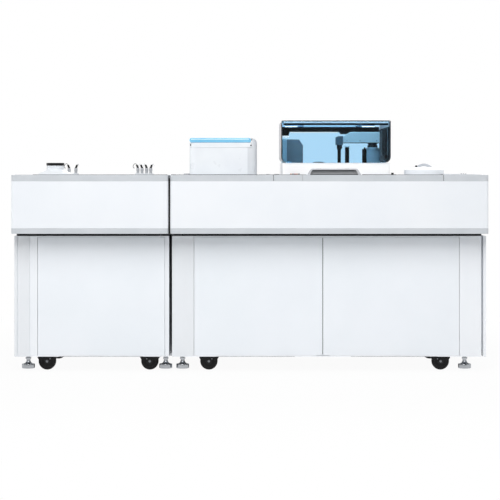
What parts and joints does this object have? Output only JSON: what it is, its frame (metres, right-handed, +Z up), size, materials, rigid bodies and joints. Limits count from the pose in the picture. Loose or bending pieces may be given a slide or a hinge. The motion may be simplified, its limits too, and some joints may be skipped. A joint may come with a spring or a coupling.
{
  "type": "immunoassay analyzer",
  "caption": "Floor-standing laboratory analyzer of linked modules on casters, with a tinted hood, a hopper lid, lift-off covers and cabinet doors.",
  "frame": {"origin": "on the floor under the middle of the machine's box", "axes": "+X to the right along the front, +Y to the back, +Z up"},
  "size_m": [2.15, 0.83, 1.141],
  "materials": {
    "white_panel": "satin powder coat",
    "white_door": "satin lacquer",
    "band_grey": "satin",
    "rear_grey": "satin powder coat",
    "white_plastic": "semi-gloss",
    "black_plastic": "matt",
    "black_rubber": "matt",
    "foam_black": "matt",
    "wheel_rubber": "matt",
    "fork_black": "satin",
    "foot_chrome": "polished",
    "pin_steel": "ground",
    "lid_blue": "glossy, tinted",
    "hood_blue": "glossy, tinted",
    "wall_blue": "satin",
    "arm_blue": "satin",
    "column_blue": "anodised",
    "slate": "satin",
    "disc_black": "matt",
    "pale_grey": "satin",
    "handle_grey": "satin",
    "tank_white": "translucent satin"
  },
  "bodies": {
    "frame": {"left_cabinet": "white_panel", "right_cabinet": "white_panel", "left_rear_cover": "rear_grey", "right_rear_cover": "rear_grey", "left_trim": "band_grey", "right_trim": "band_grey", "left_housing": "white_panel", "right_housing": "white_panel", "module_gasket": "foam_black", "left_deck": "band_grey", "right_deck": "band_grey", "hopper_tub": "white_plastic", "hopper_hinge_pin": "pin_steel", "hood_rear_wall": "wall_blue", "hood_plinth": "white_plastic", "front_grip": "black_plastic", "arm_column": "column_blue", "reader_housing": "slate", "tube_mast": "black_plastic", "waste_tank": "tank_white"},
    "left_door": {"left_door": "white_door"},
    "right_inner_door": {"right_inner_door": "white_door"},
    "right_outer_door": {"right_outer_door": "white_door"},
    "hopper_lid": {"hopper_lid_frame": "white_plastic", "hopper_lid_window": "lid_blue"},
    "hood": {"hood": "hood_blue"},
    "arm": {"pipette_arm": "arm_blue"},
    "probe": {"pipette_probe": "black_plastic"},
    "reagent_lid": {"reagent_lid": "white_plastic", "reagent_lid_handle": "handle_grey"},
    "carousel": {"reagent_carousel": "pale_grey"},
    "disc_cover": {"disc_cover": "white_plastic"},
    "cover_knob": {"cover_knob": "black_plastic"},
    "reaction_disc": {"reaction_disc": "disc_black"},
    "wash_head_left": {"wash_head_left": "pale_grey"},
    "wash_head_right": {"wash_head_right": "pale_grey"},
    "caster_left_outer_front": {"caster_fork_left_outer_front": "fork_black"},
    "wheel_left_outer_front": {"caster_wheel_left_outer_front": "wheel_rubber"},
    "caster_left_inner_front": {"caster_fork_left_inner_front": "fork_black"},
    "wheel_left_inner_front": {"caster_wheel_left_inner_front": "wheel_rubber"},
    "caster_right_inner_front": {"caster_fork_right_inner_front": "fork_black"},
    "wheel_right_inner_front": {"caster_wheel_right_inner_front": "wheel_rubber"},
    "caster_right_outer_front": {"caster_fork_right_outer_front": "fork_black"},
    "wheel_right_outer_front": {"caster_wheel_right_outer_front": "wheel_rubber"},
    "caster_left_outer_back": {"caster_fork_left_outer_back": "fork_black"},
    "wheel_left_outer_back": {"caster_wheel_left_outer_back": "wheel_rubber"},
    "caster_left_inner_back": {"caster_fork_left_inner_back": "fork_black"},
    "wheel_left_inner_back": {"caster_wheel_left_inner_back": "wheel_rubber"},
    "caster_right_inner_back": {"caster_fork_right_inner_back": "fork_black"},
    "wheel_right_inner_back": {"caster_wheel_right_inner_back": "wheel_rubber"},
    "caster_right_outer_back": {"caster_fork_right_outer_back": "fork_black"},
    "wheel_right_outer_back": {"caster_wheel_right_outer_back": "wheel_rubber"},
    "foot_left_outer_front": {"levelling_foot_left_outer_front": "foot_chrome"},
    "foot_left_inner_front": {"levelling_foot_left_inner_front": "foot_chrome"},
    "foot_right_inner_front": {"levelling_foot_right_inner_front": "foot_chrome"},
    "foot_right_outer_front": {"levelling_foot_right_outer_front": "foot_chrome"},
    "foot_left_outer_back": {"levelling_foot_left_outer_back": "foot_chrome"},
    "foot_left_inner_back": {"levelling_foot_left_inner_back": "foot_chrome"},
    "foot_right_inner_back": {"levelling_foot_right_inner_back": "foot_chrome"},
    "foot_right_outer_back": {"levelling_foot_right_outer_back": "foot_chrome"}
  },
  "joints": [
    {"name": "left_door_hinge", "type": "hinge", "parent": "frame", "child": "left_door", "pos_m": [-0.9595, -0.309, 0.341], "axis": [0, 0, -1], "range_deg": [0, 100]},
    {"name": "right_inner_door_hinge", "type": "hinge", "parent": "frame", "child": "right_inner_door", "pos_m": [-0.2475, -0.309, 0.341], "axis": [0, 0, -1], "range_deg": [0, 100]},
    {"name": "right_outer_door_hinge", "type": "hinge", "parent": "frame", "child": "right_outer_door", "pos_m": [0.947, -0.309, 0.341], "axis": [0, 0, 1], "range_deg": [0, 100]},
    {"name": "hopper_lid_hinge", "type": "hinge", "parent": "frame", "child": "hopper_lid", "pos_m": [0.0093, -0.205, 1.057], "axis": [0, 1, 0], "range_deg": [0, 95]},
    {"name": "hood_hinge", "type": "hinge", "parent": "frame", "child": "hood", "pos_m": [0.3895, 0.333, 1.133], "axis": [-1, 0, 0], "range_deg": [0, 70]},
    {"name": "arm_turn", "type": "hinge", "parent": "frame", "child": "arm", "pos_m": [0.572, -0.09, 1], "axis": [0, 0, 1], "range_deg": [-50, 50]},
    {"name": "probe_lift", "type": "slide", "parent": "arm", "child": "probe", "axis": [0, 0, 1], "range_m": [-0.03, 0.04]},
    {"name": "reagent_lid_lift", "type": "slide", "parent": "frame", "child": "reagent_lid", "axis": [0, 0, 1], "range_m": [0, 0.09]},
    {"name": "carousel_turn", "type": "hinge", "parent": "frame", "child": "carousel", "pos_m": [0.801, -0.215, 0.8], "axis": [0, 0, 1], "continuous": true},
    {"name": "disc_cover_lift", "type": "slide", "parent": "frame", "child": "disc_cover", "axis": [0, 0, 1], "range_m": [0, 0.06]},
    {"name": "cover_knob_turn", "type": "hinge", "parent": "disc_cover", "child": "cover_knob", "pos_m": [-0.9, -0.165, 0.94], "axis": [0, 0, 1], "range_deg": [0, 90]},
    {"name": "reaction_disc_turn", "type": "hinge", "parent": "frame", "child": "reaction_disc", "pos_m": [-0.9, -0.165, 0.86], "axis": [0, 0, 1], "continuous": true},
    {"name": "wash_head_left_lift", "type": "slide", "parent": "frame", "child": "wash_head_left", "axis": [0, 0, 1], "range_m": [0, 0.018]},
    {"name": "wash_head_right_lift", "type": "slide", "parent": "frame", "child": "wash_head_right", "axis": [0, 0, 1], "range_m": [0, 0.018]},
    {"name": "swivel_left_outer_front", "type": "hinge", "parent": "frame", "child": "caster_left_outer_front", "pos_m": [-0.912, -0.228, 0.091], "axis": [0, 0, 1], "continuous": true},
    {"name": "roll_left_outer_front", "type": "hinge", "parent": "caster_left_outer_front", "child": "wheel_left_outer_front", "pos_m": [-0.93, -0.228, 0.04], "axis": [0, 1, 0], "continuous": true},
    {"name": "swivel_left_inner_front", "type": "hinge", "parent": "frame", "child": "caster_left_inner_front", "pos_m": [-0.477, -0.228, 0.091], "axis": [0, 0, 1], "continuous": true},
    {"name": "roll_left_inner_front", "type": "hinge", "parent": "caster_left_inner_front", "child": "wheel_left_inner_front", "pos_m": [-0.459, -0.228, 0.04], "axis": [0, 1, 0], "continuous": true},
    {"name": "swivel_right_inner_front", "type": "hinge", "parent": "frame", "child": "caster_right_inner_front", "pos_m": [-0.17, -0.228, 0.091], "axis": [0, 0, 1], "continuous": true},
    {"name": "roll_right_inner_front", "type": "hinge", "parent": "caster_right_inner_front", "child": "wheel_right_inner_front", "pos_m": [-0.188, -0.228, 0.04], "axis": [0, 1, 0], "continuous": true},
    {"name": "swivel_right_outer_front", "type": "hinge", "parent": "frame", "child": "caster_right_outer_front", "pos_m": [0.8565, -0.228, 0.091], "axis": [0, 0, 1], "continuous": true},
    {"name": "roll_right_outer_front", "type": "hinge", "parent": "caster_right_outer_front", "child": "wheel_right_outer_front", "pos_m": [0.8745, -0.228, 0.04], "axis": [0, 1, 0], "continuous": true},
    {"name": "swivel_left_outer_back", "type": "hinge", "parent": "frame", "child": "caster_left_outer_back", "pos_m": [-0.912, 0.3, 0.091], "axis": [0, 0, 1], "continuous": true},
    {"name": "roll_left_outer_back", "type": "hinge", "parent": "caster_left_outer_back", "child": "wheel_left_outer_back", "pos_m": [-0.93, 0.3, 0.04], "axis": [0, 1, 0], "continuous": true},
    {"name": "swivel_left_inner_back", "type": "hinge", "parent": "frame", "child": "caster_left_inner_back", "pos_m": [-0.477, 0.3, 0.091], "axis": [0, 0, 1], "continuous": true},
    {"name": "roll_left_inner_back", "type": "hinge", "parent": "caster_left_inner_back", "child": "wheel_left_inner_back", "pos_m": [-0.459, 0.3, 0.04], "axis": [0, 1, 0], "continuous": true},
    {"name": "swivel_right_inner_back", "type": "hinge", "parent": "frame", "child": "caster_right_inner_back", "pos_m": [-0.17, 0.3, 0.091], "axis": [0, 0, 1], "continuous": true},
    {"name": "roll_right_inner_back", "type": "hinge", "parent": "caster_right_inner_back", "child": "wheel_right_inner_back", "pos_m": [-0.188, 0.3, 0.04], "axis": [0, 1, 0], "continuous": true},
    {"name": "swivel_right_outer_back", "type": "hinge", "parent": "frame", "child": "caster_right_outer_back", "pos_m": [0.8565, 0.3, 0.091], "axis": [0, 0, 1], "continuous": true},
    {"name": "roll_right_outer_back", "type": "hinge", "parent": "caster_right_outer_back", "child": "wheel_right_outer_back", "pos_m": [0.8745, 0.3, 0.04], "axis": [0, 1, 0], "continuous": true},
    {"name": "foot_screw_left_outer_front", "type": "slide", "parent": "frame", "child": "foot_left_outer_front", "axis": [0, 0, 1], "range_m": [-0.011, 0.004]},
    {"name": "foot_screw_left_inner_front", "type": "slide", "parent": "frame", "child": "foot_left_inner_front", "axis": [0, 0, 1], "range_m": [-0.011, 0.004]},
    {"name": "foot_screw_right_inner_front", "type": "slide", "parent": "frame", "child": "foot_right_inner_front", "axis": [0, 0, 1], "range_m": [-0.011, 0.004]},
    {"name": "foot_screw_right_outer_front", "type": "slide", "parent": "frame", "child": "foot_right_outer_front", "axis": [0, 0, 1], "range_m": [-0.011, 0.004]},
    {"name": "foot_screw_left_outer_back", "type": "slide", "parent": "frame", "child": "foot_left_outer_back", "axis": [0, 0, 1], "range_m": [-0.011, 0.004]},
    {"name": "foot_screw_left_inner_back", "type": "slide", "parent": "frame", "child": "foot_left_inner_back", "axis": [0, 0, 1], "range_m": [-0.011, 0.004]},
    {"name": "foot_screw_right_inner_back", "type": "slide", "parent": "frame", "child": "foot_right_inner_back", "axis": [0, 0, 1], "range_m": [-0.011, 0.004]},
    {"name": "foot_screw_right_outer_back", "type": "slide", "parent": "frame", "child": "foot_right_outer_back", "axis": [0, 0, 1], "range_m": [-0.011, 0.004]}
  ]
}
